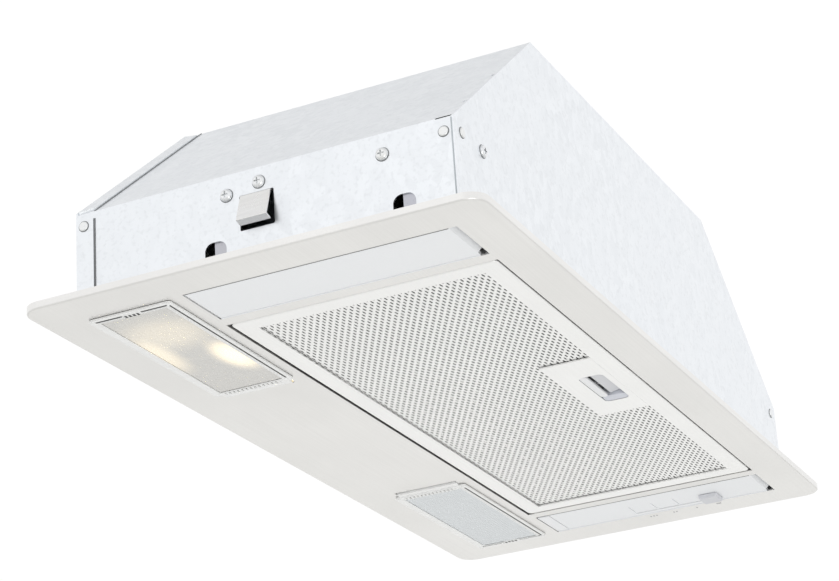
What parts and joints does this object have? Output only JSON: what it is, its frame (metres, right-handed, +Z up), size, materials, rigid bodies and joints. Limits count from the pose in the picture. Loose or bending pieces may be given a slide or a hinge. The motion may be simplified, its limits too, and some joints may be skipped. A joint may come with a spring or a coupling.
{
  "type": "under cabinet range hood",
  "caption": "Built-in range hood with a steel trim plate, hinged grease filter, hinged lamp lenses, slide control, sloped housing, blower and round outlet collar.",
  "frame": {"origin": "centre of the trim plate's underside, below the middle of its rectangle", "axes": "+X along the hood to the control strip, +Y to the wall, +Z up to the outlet collar"},
  "size_m": [0.53, 0.25, 0.1772],
  "materials": {
    "stainless": "brushed stainless sheet",
    "galvanised": "galvanised sheet",
    "zinc_steel": "zinc-plated steel",
    "spring_steel": "bare spring steel",
    "filter_aluminium": "bright rolled aluminium",
    "strip_plastic": "pale cool grey moulding",
    "control_plastic": "pale cool grey moulding",
    "latch_plastic": "lavender grey moulding",
    "dark_plastic": "black moulding",
    "fan_plastic": "grey fan moulding",
    "lens": "frosted prismatic clear plastic",
    "bulb_glass": "pearl bulb glass",
    "lamp_white": "white enamelled sheet",
    "ceramic": "white lamp holder",
    "motor_steel": "zinc motor case",
    "winding": "laminations and windings"
  },
  "bodies": {
    "housing": {"blank_strip": "strip_plastic", "blower_screws": "zinc_steel", "bulb_left": "bulb_glass", "bulb_right": "bulb_glass", "cable_gland": "dark_plastic", "capacitor": "dark_plastic", "clip_foot_left": "zinc_steel", "clip_foot_right": "zinc_steel", "collar_screws": "zinc_steel", "control_strip": "control_plastic", "damper_axle": "zinc_steel", "fan_switch": "dark_plastic", "filter_bracket_left": "zinc_steel", "filter_bracket_right": "zinc_steel", "filter_catch": "zinc_steel", "front_panel": "galvanised", "housing_shell": "galvanised", "lamp_holder_left": "ceramic", "lamp_holder_right": "ceramic", "lamp_pan_left": "lamp_white", "lamp_pan_right": "lamp_white", "light_switch": "dark_plastic", "motor_bearings": "zinc_steel", "motor_bracket": "zinc_steel", "motor_case": "motor_steel", "motor_stator": "winding", "outlet_collar": "dark_plastic", "pan_screws": "zinc_steel", "panel_rivets": "zinc_steel", "plate_lugs": "zinc_steel", "rear_panel": "galvanised", "scroll_left": "fan_plastic", "scroll_right": "fan_plastic", "switch_carrier": "zinc_steel", "terminal_box": "dark_plastic", "terminal_lid": "dark_plastic", "trim_plate": "stainless"},
    "filter": {"filter_frame": "filter_aluminium", "filter_mesh_face": "filter_aluminium", "filter_mesh_core": "filter_aluminium", "filter_mesh_back": "filter_aluminium", "latch_plate": "filter_aluminium", "latch_block": "latch_plastic", "latch_spring": "zinc_steel"},
    "latch": {"latch_lever": "zinc_steel"},
    "lens_left": {"lamp_lens_left": "lens"},
    "lens_right": {"lamp_lens_right": "lens"},
    "slider": {"fan_slider": "control_plastic"},
    "button": {"light_button": "control_plastic"},
    "wheel": {"fan_wheel": "fan_plastic", "motor_shaft": "zinc_steel", "motor_rotor": "winding"},
    "flap_left": {"damper_flap_left": "dark_plastic"},
    "flap_right": {"damper_flap_right": "dark_plastic"},
    "clip_left": {"spring_clip_left": "spring_steel"},
    "clip_right": {"spring_clip_right": "spring_steel"}
  },
  "joints": [
    {"name": "filter_swing", "type": "hinge", "parent": "housing", "child": "filter", "pos_m": [0, 0.0436, 0.0035], "axis": [1, 0, 0], "range_deg": [0, 90]},
    {"name": "latch_pull", "type": "slide", "parent": "filter", "child": "latch", "axis": [0, 1, 0], "range_m": [0, 0.0032], "stiffness_N_per_m": 150, "springref_m": -0.003, "deforming": ["latch_spring"]},
    {"name": "lens_left_drop", "type": "hinge", "parent": "housing", "child": "lens_left", "pos_m": [-0.107, 0.078, 0.0026], "axis": [0, -1, 0], "range_deg": [0, 70]},
    {"name": "lens_right_drop", "type": "hinge", "parent": "housing", "child": "lens_right", "pos_m": [0.107, 0.078, 0.0026], "axis": [0, 1, 0], "range_deg": [0, 70]},
    {"name": "fan_speed_slide", "type": "slide", "parent": "housing", "child": "slider", "axis": [0, 1, 0], "range_m": [0, 0.0441]},
    {"name": "light_push", "type": "slide", "parent": "housing", "child": "button", "axis": [0, 0, 1], "range_m": [0, 0.002], "stiffness_N_per_m": 200, "springref_m": -0.002},
    {"name": "fan_spin", "type": "hinge", "parent": "housing", "child": "wheel", "pos_m": [0, 0, 0.066], "axis": [1, 0, 0], "continuous": true},
    {"name": "flap_left_lift", "type": "hinge", "parent": "housing", "child": "flap_left", "pos_m": [0, 0, 0.152], "axis": [0, 1, 0], "range_deg": [0, 80]},
    {"name": "flap_right_lift", "type": "hinge", "parent": "housing", "child": "flap_right", "pos_m": [0, 0, 0.152], "axis": [0, -1, 0], "range_deg": [0, 80]},
    {"name": "clip_left_flex", "type": "hinge", "parent": "housing", "child": "clip_left", "pos_m": [-0.2435, 0, 0.0416], "axis": [0, -1, 0], "range_deg": [0, 18], "stiffness_Nm_per_rad": 1},
    {"name": "clip_right_flex", "type": "hinge", "parent": "housing", "child": "clip_right", "pos_m": [0.2435, 0, 0.0416], "axis": [0, 1, 0], "range_deg": [0, 18], "stiffness_Nm_per_rad": 1}
  ]
}
